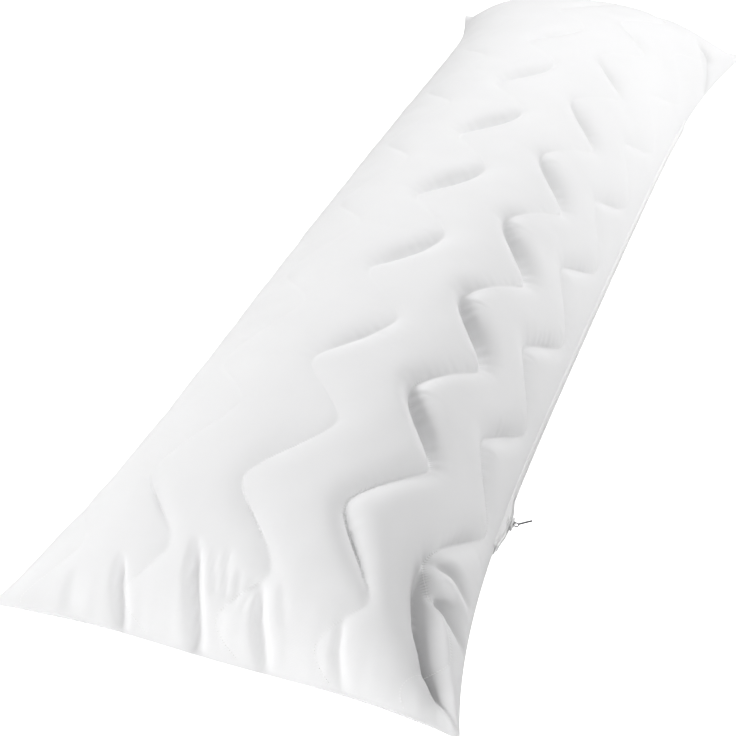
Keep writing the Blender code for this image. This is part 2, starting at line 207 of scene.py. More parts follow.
def arc_over_crown():
    """Cloth measured over the crown at mid-length, from the middle to the seam, against the share s."""
    form = setting("form")
    s = np.sin(np.linspace(0, math.pi / 2, 2001))
    x = s * (form.width / 2 - form.side_draw_in)
    z = (form.crown - form.seam_side) * falloff(s, CROSS_MIDDLE)
    return np.concatenate([[0.0], np.cumsum(np.hypot(np.diff(x), np.diff(z)))]), s


# ---- the quilting's relief

LINES = (-2, -1, 0, 1, 2)
LINE_OFFSET = 0.004
PHASE_V = 0.0954          # middle of a leg that runs away to +X
POINTEDNESS, LEAN = 0.82, 0.127
PLATEAU = 0.0015          # the cushions' tops over the plain form
TABLE_REACH = 0.08        # how far beside a line the table of distances goes
GROOVE_SHARE, GROOVE_WIDTH = 0.05, 0.0020
TIP_LOSS, SHORT_SIDE = 0.25, 0.25
EVEN_FROM, EVEN_OVER = 0.50, 0.12
PUCKER_HEIGHT, PUCKER_REACH, PUCKER_WAVES = 0.0008, 0.005, (0.0089, 0.0104, 0.0151)
PUCKER_END, PUCKER_FADE = 0.69, 0.05
SLOPE_STEP = 1e-4

# Each line's own place against the even pattern, at eight places along the pillow.
STATIONS = (-0.80, -0.745, -0.72, -0.55, -0.35, -0.10, 0.20, 0.60)
WANDER_U = {           # metres to +X
    -2: (0.010, 0.0, 0.0, 0.0, 0.0, 0.0, 0.0, 0.0),
    -1: (0.033, -0.0010, -0.0020, -0.0008, -0.0001, -0.0003, -0.0010, -0.0008),
    0: (0.025, 0.0020, -0.0020, 0.0038, 0.0055, -0.0006, -0.0018, 0.0002),
    1: (0.024, 0.0, -0.0023, 0.0103, 0.0132, 0.0130, 0.0070, -0.0012),
    2: (0.008, 0.0080, 0.0073, 0.0140, 0.0091, 0.0034, 0.0008, -0.0007),
}
WANDER_V = {           # metres to +Y
    -2: (0.050, -0.0110, -0.0099, -0.0024, 0.0047, 0.0112, 0.0167, 0.0219),
    -1: (0.073, -0.0090, -0.0102, -0.0025, 0.0049, 0.0117, 0.0168, 0.0215),
    0: (0.072, -0.0114, -0.0083, -0.0038, 0.0034, 0.0152, 0.0190, 0.0196),
    1: (0.0655, 0.0010, -0.0034, 0.0068, 0.0103, 0.0162, 0.0178, 0.0159),
    2: (0.055, 0.0100, 0.0068, 0.0185, 0.0201, 0.0200, 0.0190, 0.0190),
}
# How deep each line is pulled in, as a share of the valley depth, on the legs that run away to +X and to -X.
DEEP_TO_RIGHT = {
    -2: (0.30, 0.30, 0.30, 0.15, 0.08, 0.04, 0.04, 0.08),
    -1: (0.60, 0.40, 0.25, 0.16, 0.12, 0.07, 0.04, 0.03),
    0: (0.80, 0.50, 0.34, 0.32, 0.90, 1.60, 1.80, 0.55),
    1: (0.50, 0.50, 0.68, 0.68, 0.36, 0.09, 0.04, 0.03),
    2: (0.50, 0.95, 1.40, 1.85, 1.50, 1.12, 0.66, 0.10),
}
DEEP_TO_LEFT = {
    -2: (0.30, 0.30, 0.30, 0.15, 0.07, 0.05, 0.05, 0.04),
    -1: (0.60, 0.70, 0.85, 0.12, 0.06, 0.24, 0.26, 0.08),
    0: (0.80, 0.80, 0.76, 0.24, 0.04, 0.05, 0.04, 0.03),
    1: (0.65, 0.70, 0.85, 2.15, 2.45, 1.80, 0.95, 0.45),
    2: (0.35, 0.25, 0.30, 1.20, 1.00, 0.50, 0.10, 0.03),
}


def zigzag(v):
    """A zigzag with rounded tips, from -1 to +1: asin(k sin) of a phase that leans."""
    phase = 2 * math.pi * (v - PHASE_V) / setting("quilting").pitch
    phase = phase - LEAN * np.sin(phase)
    return np.arcsin(POINTEDNESS * np.sin(phase)) / math.asin(POINTEDNESS)


def wander_v(line, v):
    return np.interp(v, STATIONS, WANDER_V[line])


def line_u(line, v):
    """Where a stitch line crosses the place v: its even spacing, its wander and its zigzag."""
    quilting = setting("quilting")
    even = LINE_OFFSET + quilting.spacing * line + np.interp(v, STATIONS, WANDER_U[line])
    return even + quilting.swing * zigzag(v - wander_v(line, v))


def nearness_table(across=161, along=97, samples=560):
    """Distance from points beside a stitch line to its nearest point, and how far along v that point lies, over one
    pitch: the least of the distances to samples of the line."""
    quilting = setting("quilting")
    beside = np.linspace(-TABLE_REACH, TABLE_REACH, across)
    v = np.linspace(0, quilting.pitch, along)
    sample_v = np.linspace(-quilting.pitch, 2 * quilting.pitch, samples)
    sample_u = quilting.swing * zigzag(sample_v)
    du = (beside[:, None] + quilting.swing * zigzag(v)[None, :])[:, :, None] - sample_u
    dv = np.broadcast_to(v[None, :, None] - sample_v, du.shape)
    squared = du ** 2 + dv ** 2
    nearest = squared.argmin(axis=2)[:, :, None]
    distance = np.sqrt(np.take_along_axis(squared, nearest, 2)[:, :, 0])
    offset = np.take_along_axis(dv, nearest, 2)[:, :, 0]
    return {"distance": distance, "offset": offset}


def look_up(table, name, beside, v):
    """Reads the table at places beside the line, linearly in both directions; v repeats with the pitch."""
    values = table[name]
    rows, columns = values.shape
    i = np.clip((beside / TABLE_REACH + 1) / 2 * (rows - 1), 0, rows - 1.001)
    j = np.mod(v / setting("quilting").pitch, 1.0) * (columns - 1)
    i0, j0 = i.astype(int), np.minimum(j.astype(int), columns - 2)
    fi, fj = i - i0, j - j0
    low = values[i0, j0] * (1 - fj) + values[i0, j0 + 1] * fj
    high = values[i0 + 1, j0] * (1 - fj) + values[i0 + 1, j0 + 1] * fj
    return low * (1 - fi) + high * fi


def ripple(place, wavelengths, seed):
    """A sum of sines of the given wavelengths with seeded phases and strengths, about -1 to 1."""
    rng = np.random.default_rng(seed)
    total = np.zeros_like(place)
    for length in wavelengths:
        strength, phase = rng.uniform(0.6, 1.0), rng.uniform(0, 2 * math.pi)
        total += strength * np.sin(2 * math.pi * place / length + phase)
    return total / len(wavelengths)


def quilting_relief(u, v, table):
    """The wadding's relief: each line pulls a valley of depth (1 - d/reach)^3 at the distance d, with an exponential
    groove along the thread; the reach is shorter on the -Y side, except near the -Y end. The depth mixes the shares
    of the two kinds of leg by the cosine of the zigzag's phase and loses a share of its sine squared at the tips.
    Distances along v are divided by the rate at which the wander stretches the pattern. Puckers x exp(1 - x), with
    x = d / PUCKER_REACH, cross the line and fade before the ends. Also the distance to the nearest line, where
    along v its nearest point lies, which line it is and how deep it is there."""
    quilting = setting("quilting")
    relief = np.full(u.shape, PLATEAU)
    nearest, run, which = np.full(u.shape, 1.0), np.zeros(u.shape), np.zeros(u.shape, int)
    depth = np.zeros(u.shape)
    both_sides = np.clip((-EVEN_FROM - v) / EVEN_OVER, 0, 1)
    pucker_fade = 1 - np.clip((np.abs(v) - PUCKER_END) / PUCKER_FADE, 0, 1)
    for line in LINES:
        v_line = v - wander_v(line, v)
        rate = 1 - (wander_v(line, v + SLOPE_STEP) - wander_v(line, v - SLOPE_STEP)) / (2 * SLOPE_STEP)
        beside = u - line_u(line, v)
        distance = look_up(table, "distance", beside, v_line)
        offset = look_up(table, "offset", beside, v_line)
        phase = 2 * math.pi * (v_line - offset - PHASE_V) / quilting.pitch
        distance = np.sqrt(np.maximum(distance ** 2 - offset ** 2, 0) + (offset / rate) ** 2)
        offset = offset / rate
        at = v - offset
        turn = 0.5 + 0.5 * np.cos(phase)
        share = np.interp(at, STATIONS, DEEP_TO_RIGHT[line]) * turn
        share += np.interp(at, STATIONS, DEEP_TO_LEFT[line]) * (1 - turn)
        share *= 1 - TIP_LOSS * np.sin(phase) ** 2
        far = np.clip(0.5 + offset / np.maximum(distance, 1e-4), 0, 1)
        reach = quilting.reach * (1 - SHORT_SIDE * (1 - far) * (1 - both_sides))
        valley = (1 - GROOVE_SHARE) * np.clip(1 - distance / reach, 0, 1) ** 3
        valley = valley + GROOVE_SHARE * np.exp(-distance / GROOVE_WIDTH)
        x = distance / PUCKER_REACH
        pucker = ripple(at, PUCKER_WAVES, 40 + line) * x * np.exp(1 - x) * pucker_fade
        relief -= quilting.depth * share * valley
        relief += PUCKER_HEIGHT * (0.2 + 0.8 * np.minimum(share, 1.8)) * pucker * (0.3 + 0.7 * far)
        closer = distance < nearest
        run, which, depth = np.where(closer, at, run), np.where(closer, line, which), np.where(closer, share, depth)
        nearest = np.minimum(nearest, distance)
    return relief, nearest, run, which, depth


# Creases and ridges of the gathered ends and corners, in millimetres on the panel: a path of three points, its
# half width, how much wider it is on its left side, its height (below 0 for a valley) and how sharp its bottom is
# (2 is round, 1 is a crease).
CREASES = (
    # u0, v0, u1, v1, u2, v2, half width, widening, height, sharpness
    (-122, -752, -118, -778, -106, -798, 5, 1.2, -10, 1.6),
    (-46, -728, -38, -768, -24, -799, 5, 1.4, -14, 1.6),
    (30, -750, 34, -777, 48, -799, 5, 1.3, -9, 1.6),
    (119, -754, 120, -780, 134, -799, 5, 1.2, -4.5, 1.6),
    (-24, -734, -20, -752, -14, -767, 4, 1, -2.5, 1.8),
    (-9, -732, -7, -750, -3, -767, 4, 1, -2.5, 1.8),
    (8, -748, 8, -760, 8, -770, 4, 1, -2, 1.8),
    (27, -751, 24, -762, 18, -771, 4, 1, -2, 1.8),
    (54, -748, 56, -761, 60, -772, 4, 1, -2, 1.8),
    (-176, -765, -172, -785, -168, -799, 10, 1, -2.5, 1.8),
    (-206, -760, -204, -782, -200, -799, 8, 1, -1.5, 2),
    (160, -590, 204, -716, 244, -764, 42, 0.5, -19, 1.8),
    (184, -624, 221, -720, 248, -757, 11, 0.8, -32, 1.5),
    (208, -640, 240, -714, 267, -758, 7, 2, 6, 1.6),
    (238, -750, 269, -774, 297, -796, 6, 0.8, -22, 1.3),
    (190, -650, 226, -639, 270, -640, 7, 1, -17, 1.5),
    (164, -646, 212, -661, 276, -659, 7, 1, 4, 1.6),
    (208, -664, 242, -684, 280, -688, 10, 1, -32, 1.4),
    (200, -674, 236, -694, 282, -701, 4, 1, 3.5, 1.3),
    (240, -575, 274, -586, 286, -622, 5, 1, -2.5, 1.5),
    (-236, -764, -262, -783, -288, -797, 7, 1, -3.5, 1.5),
    (190, 711, 248, 700, 285, 645, 8, 1, -26, 1.2),
    (204, 699, 240, 681, 275, 650, 5, 1, 3, 1.5),
    (200, 699, 234, 673, 272, 640, 5, 1, -5, 1.4),
    (-210, 744, -246, 722, -286, 690, 8, 1, -6, 1.5),
    (236, 764, 262, 783, 288, 797, 7, 1, -4, 1.4),
    (-236, 764, -262, 783, -288, 797, 7, 1, -4, 1.4),
    (108, 742, 104, 776, 98, 799, 10, 1, -6, 1.7),
    (30, 735, 26, 772, 22, 799, 9, 1, -6.5, 1.7),
    (-46, 740, -42, 775, -38, 799, 9, 1, -6, 1.7),
    (-124, 738, -128, 774, -134, 799, 10, 1, -6.5, 1.7),
    (172, 754, 180, 780, 186, 799, 9, 1, -4, 1.7),
)
CREASE_FADE = 2.4         # a crease is at its full height from 1 / 2.4 of its path on


def crease_relief(u, v):
    """Sum over the creases: height times exp(-(d / half width)^sharpness) at the distance d from the path, fading in
    with a smooth step along the first two fifths of it."""
    relief = np.zeros(u.shape)
    for row in CREASES:
        path = np.array(row[:6]).reshape(3, 2) / 1000
        half, widening, height, sharpness = row[6] / 1000, row[7], row[8] / 1000, row[9]
        best, place, side = np.full(u.shape, 1.0), np.zeros(u.shape), np.zeros(u.shape)
        for index in (0, 1):
            start, leg = path[index], path[index + 1] - path[index]
            along = ((u - start[0]) * leg[0] + (v - start[1]) * leg[1]) / (leg @ leg)
            turned = (leg[0] * (v - start[1]) - leg[1] * (u - start[0])) / math.hypot(*leg)
            along = np.clip(along, 0, 1)
            distance = np.hypot(u - start[0] - along * leg[0], v - start[1] - along * leg[1])
            closer = distance < best
            best, side = np.where(closer, distance, best), np.where(closer, turned, side)
            place = np.where(closer, (index + along) / 2, place)
        fade = np.clip(place * CREASE_FADE, 0, 1)
        width = half * (1 + (widening - 1) * np.clip(0.5 + side / half, 0, 1))
        relief += height * fade * fade * (3 - 2 * fade) * np.exp(-(best / width) ** sharpness)
    return relief


def die_away(ripples, distance, height, reach, rise):
    """Ripples that start within the distance rise from the seam and die away with exp(-distance / reach)."""
    return height * ripples * np.exp(-distance / reach) * np.clip(distance / rise, 0, 1)


def gather_relief(u, v, seam_u):
    """Small gathers where the panel is sewn into the seam: ripples that run out of it and die away within a few
    centimetres, and a low slow unevenness over the whole cushion."""
    form = setting("form")
    from_side = np.maximum(seam_u - np.abs(u), 0)
    from_end = np.maximum(form.length / 2 - np.abs(v), 0)
    side = ripple(v + 0.3 * from_side * np.sign(u), (0.0143, 0.0212, 0.0331), 7)
    end = ripple(u + 0.02 * np.sign(v), (0.0173, 0.0262, 0.0411), 8)
    relief = die_away(side, from_side, 0.0012, 0.022, 0.004) + die_away(end, from_end, 0.0014, 0.020, 0.003)
    slow = ripple(u * 0.9 + v * 0.4, (0.061, 0.093, 0.137), 9) * ripple(v - u * 0.6, (0.071, 0.112, 0.171), 10)
    return relief + 0.0016 * slow


# The relief dies out at the seam with these powers of the shares across and along, and the quilting also loses
# a share of its depth near the ends.
ACROSS_POWER, QUILTING_POWER, CREASE_POWER = 14, 60, 120
END_LOSS, END_FROM, END_OVER = 0.65, 0.90, 0.08


class Panel:
    """The quilted upper panel as a function of (u, v)."""

    def __init__(self):
        self.arc, self.share = arc_over_crown()
        self.table = nearness_table()
        self.seam_u = self.arc[-1]

    def points(self, u, v):
        """The crown surface moved along its normal by the quilting's relief, the creases and the gathers, which die
        out at the seam; also what the relief tells of the nearest stitch line."""
        s = np.sign(u) * np.interp(np.abs(u), self.arc, self.share)
        t = v / (setting("form").length / 2)
        point, normal = crown_surface(s, t), crown_normal(s, t)
        s_here = plan(s, t)[2]
        side_edge = 1 - np.abs(s_here) ** ACROSS_POWER
        quilted, *line = quilting_relief(u, v, self.table)
        end_fade = 1 - END_LOSS * np.clip((np.abs(t) - END_FROM) / END_OVER, 0, 1) ** 1.5
        relief = quilted * end_fade * side_edge * (1 - np.abs(t) ** QUILTING_POWER)
        folded = crease_relief(u, v) + gather_relief(u, v, self.seam_u)
        relief += folded * side_edge * (1 - np.abs(t) ** CREASE_POWER)
        return point + normal * relief[..., None], line

    def track(self, line):
        """A stitch line on the panel: its v, its points, the length of thread up to each and how deep it is there."""
        v = np.linspace(-1, 1, 9001) * (setting("form").length / 2 - 0.003)
        points, (*_, depth) = self.points(line_u(line, v), v)
        run = np.concatenate([[0.0], np.cumsum(np.linalg.norm(np.diff(points, axis=0), axis=1))])
        return v, points, run, depth


ROW_PLACES = (-0.80, -0.76, -0.72, -0.2, 0.1, 0.72, 0.77, 0.80)
ROW_SPACINGS = (1.5, 1.8, 2.2, 2.3, 3.2, 4.4, 2.6, 2.0)         # against one another
STRAIGHT_BELOW = -0.72    # the columns run straight through the folds of the near end


def panel_rows(count):
    """Rows of v, closest where the camera stands and where the ends fall steeply."""
    v = np.linspace(-1, 1, 2001) * setting("form").length / 2
    spacing = np.interp(v, ROW_PLACES, ROW_SPACINGS)
    places = np.concatenate([[0.0], np.cumsum(np.diff(v) / (0.5 * (spacing[1:] + spacing[:-1])))])
    return np.interp(np.linspace(0, places[-1], count + 1), places, v)


def panel_grid(panel, v, cell_columns=30, side_columns=20):
    """Columns of u at each v: between two lines they are shared out evenly, a little closer at the stitching, and
    outside the outer lines they run out to the seam."""
    share = np.linspace(0, 1, cell_columns + 1)[:-1]
    share = share - 0.35 * np.sin(2 * math.pi * share) / (2 * math.pi)
    lines = [line_u(line, np.maximum(v, STRAIGHT_BELOW)) for line in LINES]
    out = 1 - np.linspace(1, 0, side_columns + 1)[:-1] ** 1.15
    columns = [-panel.seam_u * (1 - q) + lines[0] * q for q in out]
    for left, right in zip(lines[:-1], lines[1:]):
        columns += [left * (1 - q) + right * q for q in share]
    columns.append(lines[-1])
    columns += [lines[-1] * q + panel.seam_u * (1 - q) for q in out[::-1]]
    return np.array(columns)


# ---- mesh helpers

def new_object(name, data):
    item = bpy.data.objects.new(name, data)
    bpy.context.scene.collection.objects.link(item)
    return item


def new_piece(name, points, faces, material):
    """A mesh object at the origin that rides on the pillow's body and takes the finish it is given."""
    old = bpy.data.objects.get(name)
    if old is not None:
        bpy.data.objects.remove(old, do_unlink=True)
    mesh = bpy.data.meshes.new(name)
    mesh.from_pydata(np.asarray(points, float).reshape(-1, 3).tolist(), [], faces)
    mesh.validate()
    mesh.polygons.foreach_set("use_smooth", np.full(len(mesh.polygons), True))
    mesh.materials.append(material)
    mesh.update()
    piece = new_object(name, mesh)
    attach(piece, BODY)
    return piece


def grid_quads(index, flip=False):
    """Quads of a grid of vertex numbers."""
    corners = (index[:-1, :-1], index[1:, :-1], index[1:, 1:], index[:-1, 1:])
    quads = np.stack(corners, axis=-1).reshape(-1, 4)
    return quads[:, ::-1] if flip else quads


def store(mesh, name, values):
    attribute = mesh.attributes.new(name, "FLOAT", "POINT")
    attribute.data.foreach_set("value", np.asarray(values, np.float32))


def tube_rings(centres, side_a, side_b, radius_a, radius_b, sides):
    """Rings of an elliptical tube: centre + a cos + b sin, for every centre at once."""
    angle = np.linspace(0, 2 * math.pi, sides, endpoint=False)
    ring = side_a[..., None, :] * (radius_a[..., None] * np.cos(angle))[..., None]
    ring = ring + side_b[..., None, :] * (radius_b[..., None] * np.sin(angle))[..., None]
    return centres[..., None, :] + ring


def tube_faces(tubes, rings, sides):
    """Quads round every tube and a cap at each end, with the numbers running tube by tube, ring by ring."""
    ring = np.arange(sides)
    here = np.arange(rings - 1)[:, None] * sides
    quads = np.stack([here + ring, here + np.roll(ring, -1), here + sides + np.roll(ring, -1), here + sides + ring],
                     axis=-1).reshape(-1, 4)
    caps = np.stack([ring[::-1], (rings - 1) * sides + ring])
    start = np.arange(tubes)[:, None, None] * rings * sides
    return (start + quads).reshape(-1, 4).tolist() + (start + caps).reshape(-1, sides).tolist()


# ---- materials

class Nodes:
    """Short calls to lay out a material's nodes."""

    def __init__(self, name):
        old = bpy.data.materials.get(name)
        if old is not None:
            bpy.data.materials.remove(old)
        self.material = bpy.data.materials.new(name)
        self.material.use_nodes = True
        self.tree = self.material.node_tree
        self.shader = self.tree.nodes["Principled BSDF"]

    def add(self, kind, **values):
        node = self.tree.nodes.new(kind)
        for key, value in values.items():
            setattr(node, key, value)
        return node

    def link(self, source, target):
        self.tree.links.new(source, target)

    def math(self, operation, first, second=0.0):
        node = self.add("ShaderNodeMath", operation=operation)
        for socket, value in zip(node.inputs, (first, second)):
            if isinstance(value, (int, float)):
                socket.default_value = value
            else:
                self.link(value, socket)
        return node.outputs[0]

    def noise(self, coordinates, scale, detail=3.0, roughness=0.5):
        node = self.add("ShaderNodeTexNoise")
        for name, value in (("Scale", scale), ("Detail", detail), ("Roughness", roughness)):
            node.inputs[name].default_value = value
        self.link(coordinates, node.inputs["Vector"])
        return node.outputs["Fac"]

    def ribs(self, coordinates, direction, pitch):
        """Round ribs: 0.5 + 0.5 sin of the place across them."""
        split = self.add("ShaderNodeSeparateXYZ")
        self.link(coordinates, split.inputs[0])
        place = self.math("MULTIPLY", split.outputs[direction], 2 * math.pi / pitch)
        return self.math("ADD", self.math("MULTIPLY", self.math("SINE", place), 0.5), 0.5)

    def attribute(self, name):
        return self.add("ShaderNodeAttribute", attribute_name=name).outputs["Fac"]

    def bump(self, height, strength, distance, below=None):
        node = self.add("ShaderNodeBump")
        node.inputs["Strength"].default_value = strength
        node.inputs["Distance"].default_value = distance
        self.link(height, node.inputs["Height"])
        if below is not None:
            self.link(below, node.inputs["Normal"])
        return node.outputs["Normal"]

    def tint(self, value, low, high):
        """A colour between low and high, chosen by value."""
        ramp = self.add("ShaderNodeValToRGB")
        for element, tone, position in zip(ramp.color_ramp.elements, (low, high), (0.3, 0.7)):
            element.color, element.position = (*tone, 1), position
        self.link(value, ramp.inputs["Fac"])
        self.link(ramp.outputs["Color"], self.shader.inputs["Base Color"])

    def deepen(self, share, darker):
        """Mixes the colour so far towards a darker one."""
        mix = self.add("ShaderNodeMix", data_type="RGBA")
        socket = self.shader.inputs["Base Color"]
        self.link(share, mix.inputs[0])
        self.link(socket.links[0].from_socket, mix.inputs[6])
        mix.inputs[7].default_value = (*darker, 1)
        self.link(mix.outputs[2], socket)

    def set(self, **values):
        for key, value in values.items():
            self.shader.inputs[key.replace("_", " ")].default_value = value

    def coordinates(self, output):
        return self.add("ShaderNodeTexCoord").outputs[output]

    def relieve(self, normal):
        self.link(normal, self.shader.inputs["Normal"])


WEAVE_PITCH, RIB_PITCH = 0.0007, 0.0009
FOLD_DARKEST = 0.5        # the cloth's brightness under full painted shade in the folds


def shade(base, factor):
    return tuple(min(1.0, c * factor) for c in base)


def cover_cloth():
    """Brushed white polyester: a fine plain weave on the panel's own measure, soft unevenness, needle dimples, and
    painted shade that darkens the colour in the deepest creases.
    """
    nodes = Nodes("cover_cloth")
    base = tuple(setting("finishes").cloth)
    place, cloth = nodes.coordinates("Object"), nodes.coordinates("UV")
    nodes.tint(nodes.noise(place, 9.0, 4.0), shade(base, 0.985), shade(base, 1.01))
    # painted shade: the cloth's colour darkens towards half its brightness in the deepest creases
    nodes.deepen(nodes.attribute("fold_shade"), shade(base, FOLD_DARKEST))
    weave = nodes.math("MULTIPLY", nodes.ribs(cloth, 0, WEAVE_PITCH), nodes.ribs(cloth, 1, WEAVE_PITCH))
    nap = nodes.noise(place, 420.0, 4.0, 0.6)
    soft = nodes.noise(place, 34.0, 3.0)
    run = nodes.attribute("stitch_run")
    near = nodes.attribute("stitch_nearness")
    wave = nodes.math("COSINE", nodes.math("MULTIPLY", run, 2 * math.pi / setting("quilting").stitch))
    dimples = nodes.math("MULTIPLY", nodes.math("MULTIPLY", wave, -0.5), near)
    normal = nodes.bump(soft, 0.35, 0.0012)
    normal = nodes.bump(dimples, 1.0, 0.0008, normal)
    normal = nodes.bump(nap, 0.25, 0.00012, normal)
    normal = nodes.bump(weave, 0.35, 0.00010, normal)
    nodes.relieve(normal)
    nodes.set(Roughness=0.9, Sheen_Weight=0.15, Sheen_Roughness=0.5, Specular_IOR_Level=0.2)
    return nodes.material


def zip_tape_cloth():
    """Woven tape: ribs along its length and across."""
    nodes = Nodes("zip_tape_cloth")
    base = tuple(setting("finishes").tape)
    place = nodes.coordinates("Object")
    nodes.tint(nodes.noise(place, 45.0), shade(base, 0.97), shade(base, 1.0))
    weave = nodes.math("MULTIPLY", nodes.ribs(place, 1, RIB_PITCH), nodes.ribs(place, 2, WEAVE_PITCH))
    nodes.relieve(nodes.bump(weave, 0.6, 0.00012))
    nodes.set(Roughness=0.8)
    return nodes.material


def grained(name, base, scale, tones, grain, strength, height, **values):
    """A finish whose colour wanders between two tones of the base, with a fine grain of noise in its relief."""
    nodes = Nodes(name)
    place = nodes.coordinates("Object")
    nodes.tint(nodes.noise(place, scale), *(shade(base, tone) for tone in tones))
    nodes.relieve(nodes.bump(nodes.noise(place, *grain), strength, height))
    nodes.set(**values)
    return nodes.material


def plain_thread():
    """Polyester sewing thread: the fine grain of its twist, a little gloss."""
    return grained("stitching_thread", setting("finishes").thread, 60.0, (0.97, 1.0), (2500.0, 2.0), 0.4, 0.00006,
                   Roughness=0.6)


def coil_plastic():
    """White nylon of the coil: smooth with soft gloss."""
    return grained("coil_nylon", setting("finishes").tape, 80.0, (1.02, 1.06), (900.0, 2.0), 0.15, 0.00004,
                   Roughness=0.35)


def bright_nickel():
    """Nickel plating with faint tumbling marks."""
    return grained("bright_nickel", setting("finishes").nickel, 300.0, (0.9, 1.05), (1400.0, 3.0), 0.12, 0.00003,
                   Roughness=0.28, Metallic=1.0)


# ---- pieces

UNDER_FOLD = 8            # columns of the quilted panel to one of the plain panel
NEEDLE_REACH, NEEDLE_END, NEEDLE_FADE, NEEDLE_LOSS = 0.0019, 0.70, 0.05, 0.8
FOLD_SHADE, SHADE_FROM, SHADE_OVER = 0.45, 0.004, 0.034         # painted shade in the creases: the most, and from what crease depth over what depth


def make_cushion():
    """One closed skin: the quilted panel as a fine grid, the plain panel with an eighth of the columns, and the
    seam that they share. It stores the run of thread and the nearness of the stitching for the needle dimples, and
    from the depth of the creases a painted shade that darkens the cloth's colour in the deepest folds."""
    panel = Panel()
    rows = panel_rows(setting("studio").rows)
    u = panel_grid(panel, rows)
    v = np.broadcast_to(rows, u.shape)
    top, (nearest, at, which, depth) = panel.points(u, v)
    run = np.zeros(u.shape)
    for line in LINES:
        track_v, _, track_run, _ = panel.track(line)
        run = np.where(which == line, np.interp(at, track_v, track_run), run)
    columns, count = u.shape
    under_share = np.linspace(-1, 1, (columns - 1) // UNDER_FOLD + 1)
    under_u = np.sin(under_share * math.pi / 2)
    s_grid, t_grid = np.meshgrid(under_u, rows / (setting("form").length / 2), indexing="ij")
    under = under_surface(s_grid, t_grid)

    top_index = np.arange(columns * count).reshape(columns, count)
    inner = np.arange((len(under_share) - 2) * (count - 2)).reshape(-1, count - 2)
    under_index = np.zeros((len(under_share), count), int)
    under_index[1:-1, 1:-1] = columns * count + inner
    under_index[0], under_index[-1] = top_index[0], top_index[-1]
    points = np.concatenate([top.reshape(-1, 3), under[1:-1, 1:-1].reshape(-1, 3)])
    faces = grid_quads(top_index).tolist() + grid_quads(under_index[:, 1:-1], flip=True).tolist()
    for i in range(len(under_share) - 1):
        for end, row, turned in ((0, 1, True), (count - 1, count - 2, False)):
            ring = top_index[UNDER_FOLD * i:UNDER_FOLD * (i + 1) + 1, end].tolist()
            ring += [int(under_index[i + 1, row]), int(under_index[i, row])]
            ring = list(dict.fromkeys(ring))
            faces.append(ring[::-1] if turned else ring)
    piece = new_piece("quilted_cushion", points, faces, cover_cloth())
    mesh = piece.data

    below = np.zeros(len(points) - top_index.size)
    flat_u = np.concatenate([u.ravel(), (s_grid[1:-1, 1:-1] * panel.seam_u).ravel()])
    flat_v = np.concatenate([v.ravel(), (t_grid[1:-1, 1:-1] * setting("form").length / 2).ravel()])
    corners = np.zeros(len(mesh.loops), int)
    mesh.loops.foreach_get("vertex_index", corners)
    cloth = mesh.uv_layers.new(name="cloth")
    cloth.data.foreach_set("uv", np.stack([flat_u, flat_v], axis=-1)[corners].astype(np.float32).ravel())
    close = np.exp(-(nearest / NEEDLE_REACH) ** 2) * np.clip(depth, 0, 1)
    close = close * (1 - np.clip((-NEEDLE_END - v) / NEEDLE_FADE, 0, NEEDLE_LOSS))
    # painted shade in the creases, growing with their depth
    shaded = FOLD_SHADE * np.clip((-crease_relief(u, v) - SHADE_FROM) / SHADE_OVER, 0, 1)
    for name, values in (("stitch_run", run), ("stitch_nearness", close), ("fold_shade", shaded)):
        store(mesh, name, np.concatenate([values.ravel(), below]))

    seam = np.zeros(len(points), bool)
    seam[top_index[0]] = seam[top_index[-1]] = seam[top_index[:, 0]] = seam[top_index[:, -1]] = True
    edges = np.zeros(len(mesh.edges) * 2, int)
    mesh.edges.foreach_get("vertices", edges)
    sharp = mesh.attributes.new("sharp_edge", "BOOLEAN", "EDGE")
    sharp.data.foreach_set("value", seam[edges.reshape(-1, 2)].all(1))
    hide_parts("pillow")


STITCH_PLACES = (0.10, 0.25, 0.5, 0.75, 0.90)
BESIDE = 0.0015           # half the span over which the cloth's slope across a stitch is taken


def make_stitching():
    """Every stitch is a short thread that dives at both ends: a tube of five rings set on the panel, with its
    centre raised by a half sine and its width tapered by a root of the sine; it sinks where the line is shallow."""
    quilting = setting("quilting")
    panel = Panel()
    stitches = []
    for line in LINES:
        v, track, run, depth = panel.track(line)
        u = line_u(line, v)
        beside = panel.points(u + BESIDE, v)[0] - panel.points(u - BESIDE, v)[0]
        holes = np.arange(1, int(run[-1] / quilting.stitch)) * quilting.stitch
        hole_points, across = (np.stack([np.interp(holes, run, path[:, k]) for k in range(3)], axis=-1)
                               for path in (track, beside))
        along = np.diff(hole_points, axis=0)
        sink = 0.45 + 0.5 * np.clip(1 - np.interp(holes[:-1], run, depth), 0, 1)
        stitches.append((hole_points[:-1], along, unit(np.cross(across[:-1], along)), sink))
    start, step, up, sink = (np.concatenate(part) for part in zip(*stitches))
    side = unit(np.cross(up, step))
    place = np.array(STITCH_PLACES)
    arch = np.sin(math.pi * place)
    centres = start[:, None] + step[:, None] * place[:, None]
    centres = centres + up[:, None] * (quilting.thread * (0.9 * arch - sink[:, None]))[..., None]
    width = np.broadcast_to(quilting.thread / 2 * (0.45 + 0.55 * arch ** 0.5), centres.shape[:2])
    side_rings = np.broadcast_to(side[:, None], centres.shape)
    up_rings = np.broadcast_to(up[:, None], centres.shape)
    rings = tube_rings(centres, side_rings, up_rings, width, width * 0.7, 4)
    new_piece("quilting_stitches", rings, tube_faces(len(start), len(place), 4), plain_thread())


def seam_run(y):
    """Points of the +X seam at the places y, its direction and the direction out of it."""
    form = setting("form")
    t = y / (form.length / 2)
    ones = np.ones_like(t)
    x = plan(ones, t)[0]
    slope = (plan(ones, t + 1e-4)[0] - x) / (1e-4 * form.length / 2)
    along = unit(np.stack([slope, ones, 0 * ones], axis=-1))
    outward = np.stack([along[:, 1], -along[:, 0], 0 * ones], axis=-1)
    return np.stack([x, y, seam_height(ones, t)], axis=-1), along, outward


